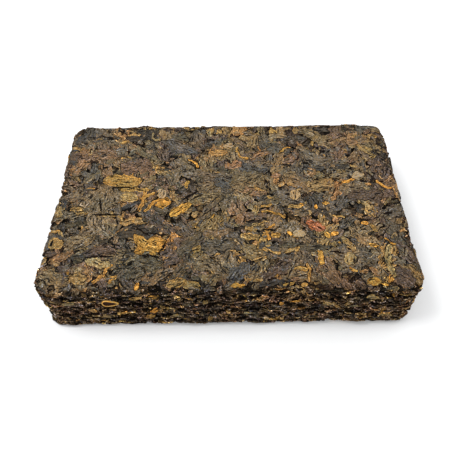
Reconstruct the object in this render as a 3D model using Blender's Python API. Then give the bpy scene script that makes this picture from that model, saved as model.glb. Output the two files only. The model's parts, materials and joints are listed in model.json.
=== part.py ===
"""A pressed pu erh tea brick: one block of compressed leaves, lying on its broad flat face.

The block comes from a rectangular mould, so it is a rounded slab. The leaves make its outline uneven:
they lie in level layers that show round the sides as shallow ledges, and a few flakes have come off
the edges. Run it with: blender --background --python part.py

Metres, +Z up. The origin is the middle of the underside; the length runs along X, the width along Y.
"""

import math

import bmesh
import bpy
from mathutils import Vector, noise

# Outer size of the brick
LENGTH = 0.140
WIDTH = 0.090
HEIGHT = 0.025

# Rounding left by the mould
CORNER_RADIUS = 0.0062
TOP_EDGE_RADIUS = 0.0024
BASE_EDGE_RADIUS = 0.0030

# Unevenness of the pressed leaves
SIDE_ROUGHNESS = 0.00065
SIDE_GRAIN = 0.009
SIDE_GRAIN_FLATNESS = 3.2
TOP_WAVE = 0.00040
TOP_WAVE_LENGTH = 0.024
LAYER_DEPTH = 0.00055
LAYER_THICKNESS = 0.0042
LAYER_WOBBLE = 0.0011

# Steps of the surface mesh
EDGE_STEPS = 3
LENGTH_STEPS = 24
WIDTH_STEPS = 15
HEIGHT_STEPS = 12

# Places where flakes have come off: centre on the unworn block, reach and depth
CHIPS = (
    ((-LENGTH / 2, 0.0047, HEIGHT), 0.0050, 0.0017),
    ((-LENGTH / 2, -WIDTH / 2, 0.0080), 0.0090, 0.0010),
    ((LENGTH / 2 - 0.0050, WIDTH / 2, HEIGHT), 0.0060, 0.0011),
    ((LENGTH / 2, -WIDTH / 2, 0.0030), 0.0080, 0.0006),
    ((0.0220, -WIDTH / 2, HEIGHT - 0.0020), 0.0090, 0.0009),
    ((-0.0300, WIDTH / 2, 0.0090), 0.0120, 0.0012),
    ((LENGTH / 2, 0.0120, 0.0110), 0.0090, 0.0010),
)

# How much a chip lowers the top face, as a share of how far it cuts in sideways
CHIP_SLOPE = 0.6

# Above this share of the height the waves of the top face begin to lift the sides
TOP_WAVE_START = 0.6

TEA_BROWN = (0.105, 0.068, 0.038, 1.0)
TEA_ROUGHNESS = 0.72


def clear_scene():
    for obj in list(bpy.data.objects):
        bpy.data.objects.remove(obj)


def tea_material():
    """The dark brown of fermented, pressed leaves."""
    material = bpy.data.materials.new("pressed_tea")
    material.use_nodes = True
    shader = material.node_tree.nodes["Principled BSDF"]
    shader.inputs["Base Color"].default_value = TEA_BROWN
    shader.inputs["Roughness"].default_value = TEA_ROUGHNESS
    shader.inputs["Metallic"].default_value = 0.0
    material.diffuse_color = TEA_BROWN
    return material


def stations(low, high, low_round, high_round, steps):
    """Places along one side: close together in the rounding at each end, even between."""
    start, end = low + low_round, high - high_round
    places = [low + low_round * i / EDGE_STEPS for i in range(EDGE_STEPS)]
    places += [start + (end - start) * i / steps for i in range(steps + 1)]
    places += [end + high_round * i / EDGE_STEPS for i in range(1, EDGE_STEPS + 1)]
    return places


def block_surface(xs, ys, zs):
    """The six sides of a block as one closed bmesh, with vertices at the given stations."""
    mesh = bmesh.new()
    vertices = {}

    def vertex(i, j, k):
        if (i, j, k) not in vertices:
            vertices[i, j, k] = mesh.verts.new((xs[i], ys[j], zs[k]))
        return vertices[i, j, k]

    def side(first, second, place):
        for a in range(first):
            for b in range(second):
                corners = ((a, b), (a + 1, b), (a + 1, b + 1), (a, b + 1))
                mesh.faces.new([vertex(*place(u, v)) for u, v in corners])

    last_x, last_y, last_z = len(xs) - 1, len(ys) - 1, len(zs) - 1
    for k in (0, last_z):
        side(last_x, last_y, lambda u, v, k=k: (u, v, k))
    for j in (0, last_y):
        side(last_x, last_z, lambda u, v, j=j: (u, j, v))
    for i in (0, last_x):
        side(last_y, last_z, lambda u, v, i=i: (i, u, v))
    bmesh.ops.recalc_face_normals(mesh, faces=mesh.faces)
    return mesh


def round_in_plan(x, y):
    """Moves a point of the square-cornered block so that its four upright corners are arcs."""
    core_x, core_y = LENGTH / 2 - CORNER_RADIUS, WIDTH / 2 - CORNER_RADIUS
    over = Vector((abs(x) - core_x, abs(y) - core_y))
    if over.x <= 0 or over.y <= 0:
        return x, y
    over *= max(over) / over.length
    return math.copysign(core_x + over.x, x), math.copysign(core_y + over.y, y)


def plan_depth(x, y):
    """How far a point lies inside the rounded outline, and the direction straight out of it."""
    over = Vector((abs(x) - LENGTH / 2 + CORNER_RADIUS, abs(y) - WIDTH / 2 + CORNER_RADIUS))
    if over.x > 0 and over.y > 0:
        reach, outward = over.length, over.normalized()
    elif over.x > over.y:
        reach, outward = over.x, Vector((1, 0))
    else:
        reach, outward = over.y, Vector((0, 1))
    outward = Vector((math.copysign(outward.x, x), math.copysign(outward.y, y), 0))
    return CORNER_RADIUS - reach, outward


def round_edge(point, depth, outward, level, radius, upward):
    """Rolls the sharp edge at one level into a quarter round of the given radius."""
    drop = abs(point.z - level)
    if depth >= radius or drop >= radius:
        return point
    arm = Vector((radius - depth, radius - drop))
    arm *= max(arm) / arm.length
    rolled = point + outward * (arm.x - (radius - depth))
    rolled.z = level - upward * (radius - arm.y)
    return rolled


def layer_profile(point):
    """Ledges of the level leaf layers: out at the middle of a layer, in between two of them."""
    wobble = LAYER_WOBBLE * noise.noise(Vector((point.x * 55, point.y * 55, 4.7)))
    phase = 2 * math.pi * (point.z + wobble) / LAYER_THICKNESS
    return LAYER_DEPTH * (0.5 + 0.5 * math.cos(phase))


def side_unevenness(point):
    """Leaf ends that stand in and out of the sides, longer along the layers than across them."""
    flat = Vector((point.x, point.y, point.z * SIDE_GRAIN_FLATNESS)) / SIDE_GRAIN
    return SIDE_ROUGHNESS * noise.fractal(flat, 0.8, 2.1, 3)


def top_unevenness(point):
    """Long shallow waves of the pressed top face."""
    return TOP_WAVE * noise.fractal(Vector((point.x, point.y, 3.1)) / TOP_WAVE_LENGTH, 0.9, 2.0, 3)


def chip_depth(point):
    """How much the missing flakes take off at a point."""
    taken = 0.0
    for centre, reach, depth in CHIPS:
        nearness = max(0.0, 1 - (point - Vector(centre)).length / reach)
        taken += depth * nearness * nearness * (3 - 2 * nearness)
    return taken


def shaped(point):
    """Where a vertex of the plain block ends up on the pressed brick."""
    x, y = round_in_plan(point.x, point.y)
    point = Vector((x, y, point.z))
    depth, outward = plan_depth(x, y)
    on_base = point.z < 1e-9
    on_top = point.z > HEIGHT - 1e-9
    rolled = round_edge(point, depth, outward, HEIGHT, TOP_EDGE_RADIUS, 1)
    rolled = round_edge(rolled, depth, outward, 0.0, BASE_EDGE_RADIUS, -1)
    sideways = max(0.0, 1 - depth / TOP_EDGE_RADIUS)
    if not (on_top or on_base):
        sideways = 1.0
    if on_base:
        sideways = max(0.0, 1 - depth / BASE_EDGE_RADIUS)
    swell = side_unevenness(point) - layer_profile(point) - chip_depth(point)
    moved = rolled + outward * swell * sideways
    upward = max(0.0, (point.z / HEIGHT - TOP_WAVE_START) / (1 - TOP_WAVE_START))
    moved.z += (top_unevenness(point) - CHIP_SLOPE * chip_depth(point)) * upward
    return moved


def fit_to_size(mesh):
    """Brings the uneven block to its exact outer size, with its underside at z = 0."""
    for axis, low, high in ((0, -LENGTH / 2, LENGTH / 2), (1, -WIDTH / 2, WIDTH / 2), (2, 0.0, HEIGHT)):
        places = [vertex.co[axis] for vertex in mesh.verts]
        bottom, top = min(places), max(places)
        for vertex in mesh.verts:
            vertex.co[axis] = low + (vertex.co[axis] - bottom) * (high - low) / (top - bottom)


def tea_brick():
    xs = stations(-LENGTH / 2, LENGTH / 2, CORNER_RADIUS, CORNER_RADIUS, LENGTH_STEPS)
    ys = stations(-WIDTH / 2, WIDTH / 2, CORNER_RADIUS, CORNER_RADIUS, WIDTH_STEPS)
    zs = stations(0.0, HEIGHT, BASE_EDGE_RADIUS, TOP_EDGE_RADIUS, HEIGHT_STEPS)
    surface = block_surface(xs, ys, zs)
    for vertex in surface.verts:
        vertex.co = shaped(vertex.co.copy())
    fit_to_size(surface)
    mesh = bpy.data.meshes.new("tea_brick")
    surface.to_mesh(mesh)
    surface.free()
    mesh.shade_smooth()
    mesh.materials.append(tea_material())
    brick = bpy.data.objects.new("tea_brick", mesh)
    bpy.context.scene.collection.objects.link(brick)
    return brick


clear_scene()
tea_brick()
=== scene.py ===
"""Looks of the pressed pu erh tea brick: a dark core under layers of real leaves.

The leaves are laid the way a press lays them. Each layer is scattered over the brick's outer form,
dropped onto the layers below, and squeezed flat against the wall of the mould. Round the sides the
leaves lie on edge, in level layers. Metres, +Z up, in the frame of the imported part.
"""

import json
import math
from types import SimpleNamespace

import bmesh
import bpy
from mathutils import Matrix, Vector

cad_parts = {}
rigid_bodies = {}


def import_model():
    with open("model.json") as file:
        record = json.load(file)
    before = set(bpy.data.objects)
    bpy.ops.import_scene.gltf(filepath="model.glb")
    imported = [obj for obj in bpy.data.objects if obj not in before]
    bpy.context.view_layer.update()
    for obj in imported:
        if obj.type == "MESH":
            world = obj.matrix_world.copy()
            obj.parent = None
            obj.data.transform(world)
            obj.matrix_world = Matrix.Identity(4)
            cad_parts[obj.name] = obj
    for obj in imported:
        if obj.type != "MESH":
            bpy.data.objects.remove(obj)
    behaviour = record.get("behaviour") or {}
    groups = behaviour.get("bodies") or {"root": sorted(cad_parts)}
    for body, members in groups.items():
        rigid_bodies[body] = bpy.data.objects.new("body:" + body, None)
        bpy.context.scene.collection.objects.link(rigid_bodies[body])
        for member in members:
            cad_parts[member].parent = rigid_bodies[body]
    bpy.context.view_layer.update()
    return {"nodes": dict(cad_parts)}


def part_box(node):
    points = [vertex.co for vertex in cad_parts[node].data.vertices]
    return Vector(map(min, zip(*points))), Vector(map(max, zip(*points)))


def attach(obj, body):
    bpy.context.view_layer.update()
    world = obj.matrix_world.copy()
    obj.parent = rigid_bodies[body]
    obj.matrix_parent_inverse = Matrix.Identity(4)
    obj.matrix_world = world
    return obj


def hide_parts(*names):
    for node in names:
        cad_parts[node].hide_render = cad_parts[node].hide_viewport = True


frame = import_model()
BRICK = "tea_brick"
BODY = "root"
LOW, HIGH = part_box(BRICK)
LENGTH, WIDTH, _ = HIGH - LOW
MM = 0.001
CORNER = 6.2 * MM  # the outline's corner radius
FACE_RISE = 0.75  # a wall whose normal rises more than this is a broad face
RIM_CROWN = 0.1  # what marks a leaf's rim among its vertices
UNDER_CROWN = -3.2  # how far a leaf's underside hangs, in thicknesses
THINNEST = 0.0012 * MM  # the thinnest that anything is pressed to
RAY_START = 3 * MM  # how far outside the wall the fall of a leaf starts
LEAST_COVER = 0.03 * MM  # what a listed leaf stands above the ground at least
FAR_BELOW = -9 * MM  # a height that no leaf goes under
TORN_END = 0.9 * MM  # how ragged the torn ends are
EDGE_JAG = 0.25 * MM  # how jagged the edges of standing leaves are
EDGE_SOFTNESS = 0.08 * MM  # how gently the wall presses standing leaves
WALL_SOFTNESS = 0.5 * MM  # how gently the outline turns back lying leaves
WAVE_LENGTH = 13 * MM  # length of the waves that carry the standing leaves


# ---------------------------------------------------------------- node building


def port(sockets, key):
    """A node's socket by name or by place, counting only those that its settings switch on."""
    live = [socket for socket in sockets if socket.enabled]
    if isinstance(key, int):
        return live[key]
    return next(socket for socket in live if socket.name == key)


class Net:
    """A node tree being built. Each call adds one node and gives back one of its outputs."""

    def __init__(self, tree):
        self.tree = tree

    def feed(self, socket, value):
        if isinstance(value, bpy.types.NodeSocket):
            self.tree.links.new(value, socket)
        elif value is not None:
            socket.default_value = value

    def add(self, kind, *values, out=0, named=None, **settings):
        node = self.tree.nodes.new(kind)
        for key, value in settings.items():
            setattr(node, key, value)
        for place, value in enumerate(values):
            if value is not None:
                self.feed(port(node.inputs, place), value)
        for key, value in (named or {}).items():
            self.feed(port(node.inputs, key), value)
        return port(node.outputs, out)

    def math(self, operation, *values):
        return self.add("ShaderNodeMath", *values, operation=operation)

    def vector(self, operation, *values, out=0):
        return self.add("ShaderNodeVectorMath", *values, operation=operation, out=out)

    def scaled(self, vector, by):
        return self.add("ShaderNodeVectorMath", vector, operation="SCALE", named={"Scale": by})

    def shifted(self, vector, by):
        return self.vector("ADD", vector, by)

    def stretched(self, vector, by):
        return self.vector("MULTIPLY", vector, by)

    def chain(self, operation, values):
        """Values joined by one operation, from the first to the last."""
        total = values[0]
        for value in values[1:]:
            total = self.math(operation, total, value)
        return total

    def plus(self, *values):
        return self.chain("ADD", values)

    def times(self, *values):
        return self.chain("MULTIPLY", values)

    def most(self, *values):
        return self.chain("MAXIMUM", values)

    def least(self, *values):
        return self.chain("MINIMUM", values)

    def less(self, first, second):
        return self.math("SUBTRACT", first, second)

    def combine(self, x=0.0, y=0.0, z=0.0):
        return self.add("ShaderNodeCombineXYZ", x, y, z)

    def parts(self, vector):
        node = self.add("ShaderNodeSeparateXYZ", vector).node
        return node.outputs[0], node.outputs[1], node.outputs[2]

    def span(self, value, low, high, to_low=0.0, to_high=1.0, smooth=False):
        kind = "SMOOTHSTEP" if smooth else "LINEAR"
        return self.add("ShaderNodeMapRange", value, low, high, to_low, to_high, interpolation_type=kind)

    def noise(self, vector, scale=1.0, detail=2.0, roughness=0.5, out="Fac"):
        named = {"Vector": vector, "Scale": scale, "Detail": detail, "Roughness": roughness}
        return self.add("ShaderNodeTexNoise", named=named, out=out)

    def bumps(self, vector, scale=1.0, detail=1.0):
        """Noise about zero, from about -1 to 1."""
        return self.math("MULTIPLY_ADD", self.noise(vector, scale, detail), 4.0, -2.0)

    def warp(self, vector, colour, by):
        """A place moved about by a colour noise."""
        swing = self.vector("SUBTRACT", colour, (0.5, 0.5, 0.5))
        return self.shifted(vector, self.scaled(swing, by))

    def mix(self, share, first, second, kind="RGBA"):
        return self.add("ShaderNodeMix", share, first, second, data_type=kind)

    def painted(self, name, out="Fac"):
        """A named attribute, inside a shader."""
        return self.add("ShaderNodeAttribute", attribute_name=name, out=out)

    def own_number(self, grain, spread):
        """One more number from 0 to 1 that each leaf keeps, drawn out of its grain."""
        return self.math("FRACT", self.times(grain, spread))

    def attribute(self, name, kind="FLOAT"):
        """A named attribute, inside Geometry Nodes."""
        return self.add("GeometryNodeInputNamedAttribute", name, data_type=kind)

    def store(self, geometry, name, value, kind="FLOAT"):
        named = {"Geometry": geometry, "Name": name, "Value": value}
        return self.add("GeometryNodeStoreNamedAttribute", named=named, data_type=kind)

    def mesh_of(self, thing):
        return self.add("GeometryNodeObjectInfo", thing, out="Geometry", transform_space="ORIGINAL")

    def meshes_of(self, collection):
        found = self.add("GeometryNodeCollectionInfo", collection, transform_space="ORIGINAL")
        return self.add("GeometryNodeRealizeInstances", found)

    def random(self, low, high, seed, offset):
        """One even random number for each point."""
        named = {"Min": low, "Max": high, "Seed": self.plus(seed, float(offset))}
        return self.add("FunctionNodeRandomValue", named=named, data_type="FLOAT")


def socket_type(kind):
    """The class of socket for a kind of value; mm are lengths, held in metres."""
    return "NodeSocket" + {"mm": "Float", "colour": "Color"}.get(kind, kind.capitalize())


def new_group(kind, name, inputs, outputs):
    """An empty group, its Net, and its inputs by name. The inputs are (name, kind, default)."""
    tree = bpy.data.node_groups.new(name, kind)
    for label, socket, default in inputs:
        made = tree.interface.new_socket(label, in_out="INPUT", socket_type=socket_type(socket))
        if default is not None:
            made.default_value = default * MM if socket == "mm" else default
    for label, socket in outputs:
        tree.interface.new_socket(label, in_out="OUTPUT", socket_type=socket_type(socket))
    entry = tree.nodes.new("NodeGroupInput")
    return tree, Net(tree), {socket.name: socket for socket in entry.outputs if socket.name}


def end_group(net, **results):
    """Feeds a group's outputs; a name's underscores stand for spaces."""
    leave = net.tree.nodes.new("NodeGroupOutput")
    for label, value in results.items():
        net.feed(leave.inputs[label.replace("_", " ")], value)


# ---------------------------------------------------------------- laying leaves


def pressed(net, height, softness):
    """Height above a wall squeezed to stay under it, keeping the order of what overlaps."""
    above = net.plus(height, softness)
    over = net.plus(net.most(above, 0.0), softness)
    squeezed = net.math("DIVIDE", net.times(softness, softness), over)
    return net.less(net.least(above, 0.0), squeezed)


def unpressed(net, height, softness):
    """The height that pressed() would have squeezed to this one."""
    below = net.most(net.times(height, -1.0), THINNEST)
    over = net.less(net.math("DIVIDE", net.times(softness, softness), below), softness)
    return net.plus(net.least(height, net.times(softness, -1.0)), net.most(over, 0.0))


def inside_outline(net, place, margin):
    """A place on a broad face moved so that it stays within the mould's upright walls."""
    core = (LENGTH / 2 - CORNER, WIDTH / 2 - CORNER, 1.0)
    over = net.vector("SUBTRACT", net.vector("ABSOLUTE", place), core)
    over = net.vector("MAXIMUM", over, (0.0, 0.0, 0.0))
    reach = net.most(net.vector("LENGTH", over, out="Value"), 1e-6)
    outward = net.scaled(over, net.math("DIVIDE", 1.0, reach))
    outward = net.stretched(outward, net.vector("SIGN", place))
    beyond = net.less(reach, net.less(CORNER, margin))
    shift = net.less(beyond, pressed(net, beyond, WALL_SOFTNESS))
    return net.vector("SUBTRACT", place, net.scaled(outward, shift))


def nearest_on(net, surface, place):
    """The nearest point of a surface to a place, and the smooth normal there."""
    found = []
    for kind in ("GeometryNodeInputPosition", "GeometryNodeInputNormal"):
        named = {"Mesh": surface, "Value": net.add(kind), "Sample Position": place}
        found.append(net.add("GeometryNodeSampleNearestSurface", named=named, data_type="FLOAT_VECTOR"))
    return found


LEAF_INPUTS = (
    ("Form", "object", None),  # the mould's wall, which is the brick's outer form
    ("Ground", "collection", None),  # the pieces that lie below
    ("Blank", "object", None),  # the unshaped leaf
    ("Thickness", "mm", 0.16),
    ("Roll", "mm", 0.1),  # how far the middle domes up
    ("Pleats", "mm", 0.30),  # depth of the creases that run along the leaf
    ("Crumple", "mm", 0.12),
    ("Curl", "mm", 0.15),  # how far the sides turn up or down
    ("Raggedness", "float", 0.28),
    ("Taper", "float", 0.4),  # 0 leaves the ends as broad as the middle, 1 draws them to points
    ("Arc", "float", 0.35),  # most that the leaf bends along its length, in radians
    ("Lift", "mm", 0.10),  # most that it rises off the ground
    ("Order", "float", 0.25),  # how much of the ground's height it keeps: 1 lies on top of it all
    ("Softness", "mm", 0.12),  # how gently the wall presses it
    ("Gap", "mm", 0.56),  # breadth of the torn rim round it, which the shader paints dark as shade in the gap
    ("Bow", "mm", 0.0),  # most that a standing leaf bows sideways
    ("Sway", "mm", 0.15),  # how much the whole leaf snakes
    ("Waves", "mm", 0.8),  # height of the waves that carry the standing leaves
)
SCATTER_INPUTS = (
    ("Geometry", "geometry", None),
    ("Material", "material", None),
    ("Seed", "float", 0.0),
    ("Spacing", "mm", 3.0),  # least distance from seat to seat
    ("Top share", "float", 1.0),
    ("Side share", "float", 0.0),
    ("Base share", "float", 0.42),
    ("Shoulder share", "float", 0.0),
    ("Shortest", "mm", 5.0),
    ("Longest", "mm", 12.0),
    ("Slimmest", "float", 0.25),  # breadth, as a share of the length
    ("Broadest", "float", 0.5),
    ("Turn", "float", math.pi),  # most that a leaf turns either way from level, in radians
    ("Stand", "float", 0.0),  # 0 lies flat, 1 stands on edge
    ("Sink", "mm", 0.0),  # most that a leaf stays behind the wall
    *LEAF_INPUTS,
)
LENGTHS = {name for name, kind, _ in SCATTER_INPUTS if kind == "mm"}

# Hollows in the walls and in the top's edges: middle and radius, in mm
HOLLOWS = (
    ((-0.5, -45, 24), 4.0),
    ((7.5, -45, 23), 5.0),
    ((16.0, -45, 23), 4.5),
    ((31, -45, 24.5), 3.5),
    ((38, -45, 24), 4.0),
    ((46, -45, 24), 3.5),
    ((-26, -45, 23), 4.0),
    ((-34, -45, 17), 3.0),
    ((-56, -45, 21), 3.5),
    ((-10, -45, 11), 3.0),
    ((58, -45, 16), 3.0),
    ((70, 12, 20), 4.0),
    ((70, -22, 12), 3.5),
    ((-70, -12, 17), 4.0),
    ((-70, 26, 10), 3.5),
    ((22, 45, 21), 5.0),
    ((-38, 45, 14), 4.0),
)


def hollows_group():
    """How much of a hollow is at a place: 1 in its middle, 0 from its radius outwards."""
    inputs = (("Place", "vector", (0, 0, 0)),)
    tree, net, given = new_group("GeometryNodeTree", "Hollows", inputs, (("Amount", "float"),))
    amount = 0.0
    for middle, radius in HOLLOWS:
        away = net.vector("DISTANCE", given["Place"], [c * MM for c in middle], out="Value")
        amount = net.most(net.span(away, 0.45 * radius * MM, radius * MM, 1.0, 0.0), amount)
    end_group(net, Amount=amount)
    return tree


def read_leaf(net, given):
    """A leaf's seat, sizes and own numbers, as one bundle for the functions below.

    A seat has: turn, the leaf's direction in the face; long and wide, its size; stand, how far it
    stands on edge, from 0 lying to 1 upright; sink, how far it stays behind the wall; tone, its
    place in the colours; grain, its own number.
    """
    leaf = SimpleNamespace()
    u, v, leaf.crown = net.parts(net.attribute("blank", "FLOAT_VECTOR"))
    leaf.seat = net.attribute("seat", "FLOAT_VECTOR")
    for name in ("long", "wide", "turn", "grain", "sink"):
        setattr(leaf, name, net.attribute(name))
    quarter = net.times(net.attribute("stand"), math.pi / 2)
    leaf.lying, leaf.upright = net.math("COSINE", quarter), net.math("SINE", quarter)
    leaf.on_rim = net.math("LESS_THAN", leaf.crown, 2 * RIM_CROWN)
    leaf.end, leaf.side = net.less(u, 0.5), net.less(v, 0.5)
    leaf.arch = net.times(u, net.less(1.0, u), 4.0)
    leaf.number = net.times(leaf.grain, 37.0)
    leaf.mm_along = net.times(leaf.end, leaf.long, 1 / MM)
    leaf.mm_across = net.times(leaf.side, leaf.wide, 1 / MM)
    leaf.own = net.combine(leaf.mm_along, leaf.mm_across, leaf.number)
    varied = net.times(net.less(net.own_number(leaf.grain, 5.3), 0.5), given["Raggedness"], 3.0)
    taper = net.times(given["Taper"], net.plus(1.0, varied))
    leaf.belly = net.math("POWER", net.most(leaf.arch, 0.03), taper)
    return leaf


def leaf_side(net, given, leaf):
    """How far across a straight leaf each point lies: a lens with ragged sides. Also the torn gap."""
    half = net.math("SIGN", leaf.side)
    edge = net.combine(net.times(leaf.mm_along, 0.30), half, leaf.number)
    phase = net.math("MULTIPLY_ADD", half, 2.3, leaf.number)
    zigzag = net.math("PINGPONG", net.math("MULTIPLY_ADD", leaf.mm_along, 0.27, phase), 0.5)
    notch = net.math("MULTIPLY_ADD", leaf.mm_along, 0.61, net.times(phase, 1.7))
    notch = net.math("PINGPONG", notch, 0.5)
    rough = net.plus(
        net.times(net.bumps(edge, 1.0, 0.0), 0.5),
        net.times(net.less(net.times(zigzag, 4.0), 1.0), 0.7),
        net.times(net.less(net.times(notch, 4.0), 1.0), 0.45),
    )
    rag = net.plus(1.0, net.times(rough, given["Raggedness"]))
    sway = net.bumps(net.combine(net.times(leaf.mm_along, 0.12), 7.3, leaf.number))
    twist = net.bumps(net.combine(net.times(leaf.mm_along, 0.32), 2.9, leaf.number))
    sway = net.plus(net.times(sway, leaf.wide, 0.25), net.times(twist, given["Sway"]))
    torn = net.noise(net.shifted(net.scaled(edge, 2.2), (0.0, 0.0, 5.0)), 1.0, 1.0)
    gap = net.times(given["Gap"], leaf.on_rim, net.span(torn, 0.38, 0.64, 0.15, 1.3))
    lens = net.times(leaf.side, leaf.wide, leaf.belly, rag)
    return net.plus(lens, sway, net.times(half, gap)), gap


def leaf_outline(net, given, leaf):
    """Where each point lies along and across the leaf, whose centre line is an arc."""
    offset, gap = leaf_side(net, given, leaf)
    signed = net.math("MULTIPLY_ADD", net.own_number(leaf.grain, 3.1), 2.0, -1.0)
    angle = net.plus(net.times(given["Arc"], signed), 0.013)
    radius = net.math("DIVIDE", leaf.long, angle)
    heading = net.times(angle, leaf.end)
    sine, cosine = net.math("SINE", heading), net.math("COSINE", heading)
    which = net.math("SIGN", leaf.end)
    at_end = net.math("GREATER_THAN", net.math("ABSOLUTE", leaf.end), 0.499)
    tear = net.bumps(net.combine(net.times(leaf.mm_across, 0.7), which, leaf.number))
    along = net.plus(
        net.times(sine, net.less(radius, offset)),
        net.times(tear, given["Raggedness"], TORN_END),
        net.times(which, at_end, gap),
    )
    across = net.plus(net.times(net.less(1.0, cosine), radius), net.times(cosine, offset))
    return along, across


def leaf_relief(net, given, leaf):
    """The leaf's own height at each point: pleats, crumples, a domed middle and curled sides."""
    wavy = net.warp(leaf.own, net.noise(leaf.own, 0.25, 1.0, out="Color"), 2.0)
    pleats = net.math("ABSOLUTE", net.bumps(net.stretched(wavy, (0.11, 0.55, 1.0))))
    pleats = net.least(net.less(net.times(pleats, 4.5), 1.0), 0.0)
    crumple = net.bumps(net.stretched(leaf.own, (0.30, 0.45, 1.0)), 1.0, 2.0)
    fold = net.times(net.math("ABSOLUTE", leaf.side), 2.0)
    dome = net.times(net.less(1.0, net.times(fold, fold)), leaf.belly)
    turned = net.math("MULTIPLY_ADD", net.own_number(leaf.grain, 7.7), 2.0, -0.9)
    return net.plus(
        net.times(pleats, given["Pleats"]),
        net.times(crumple, given["Crumple"]),
        net.times(dome, given["Roll"]),
        net.times(fold, fold, turned, given["Curl"]),
        net.times(leaf.crown, given["Thickness"]),
    )


def leaf_directions(net, form, leaf):
    """Whether the seat is on a broad face, and the leaf's two ways there.

    Round the sides the leaves keep level; on the broad faces they lie any way.
    """
    _, out = nearest_on(net, form, leaf.seat)
    _, _, rise = net.parts(out)
    flat = net.math("GREATER_THAN", net.math("ABSOLUTE", rise), FACE_RISE)
    level = net.vector("CROSS_PRODUCT", (0.0, 0.0, 1.0), out)
    base = net.mix(flat, level, (1.0, 0.0, 0.0), "VECTOR")
    away = net.scaled(out, net.vector("DOT_PRODUCT", base, out, out="Value"))
    base = net.vector("NORMALIZE", net.vector("SUBTRACT", base, away))
    along = net.add("ShaderNodeVectorRotate", base, None, out, leaf.turn, rotation_type="AXIS_ANGLE")
    return flat, along, net.vector("CROSS_PRODUCT", out, along)


def drop_onto(net, below, wall, out):
    """How high the ground stands at a place, measured outwards from the mould's wall."""
    named = {
        "Target Geometry": below,
        "Source Position": net.shifted(wall, net.scaled(out, RAY_START)),
        "Ray Direction": net.scaled(out, -1.0),
        "Ray Length": 3 * RAY_START,
    }
    cast = net.add("GeometryNodeRaycast", named=named).node
    hit, distance = port(cast.outputs, "Is Hit"), port(cast.outputs, "Hit Distance")
    depth = net.add("GeometryNodeSwitch", hit, 2 * RAY_START, distance, input_type="FLOAT")
    return net.less(RAY_START, depth)


def over_blurred(net, name, steps):
    """A named height and its blurred self, whichever is higher."""
    smooth = net.add("GeometryNodeBlurAttribute", net.attribute(name), steps, 1.0, data_type="FLOAT")
    return net.most(net.attribute(name), smooth)


def lying_height(net, given, leaf, relief):
    """The height of a lying leaf: draped over the ground, then pressed against the wall.

    Leaves with an Order of 1 stay wholly on top of what lies below, others sink partly into it.
    """
    draped = unpressed(net, over_blurred(net, "ground", 2), given["Softness"])
    stacked = net.plus(net.least(draped, 0.0), net.times(net.most(draped, 0.0), given["Order"]))
    lift = net.times(net.own_number(leaf.grain, 13.3), given["Lift"])
    on_top = net.math("GREATER_THAN", given["Order"], 0.5)
    covering = net.times(net.math("GREATER_THAN", leaf.crown, 0.0), on_top)
    least = net.math("MULTIPLY_ADD", covering, LEAST_COVER - FAR_BELOW, FAR_BELOW)
    raised = net.plus(stacked, lift, net.most(relief, least))
    return pressed(net, net.less(raised, leaf.sink), given["Softness"])


def standing_height(net, leaf, across):
    """The height of a leaf on edge: its upper edge is jagged and pressed to the wall."""
    height = net.less(net.less(across, net.times(leaf.wide, 0.5)), leaf.sink)
    jag = net.times(net.bumps(net.stretched(leaf.own, (0.9, 0.5, 1.0))), EDGE_JAG)
    return pressed(net, net.plus(height, jag), EDGE_SOFTNESS)


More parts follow.
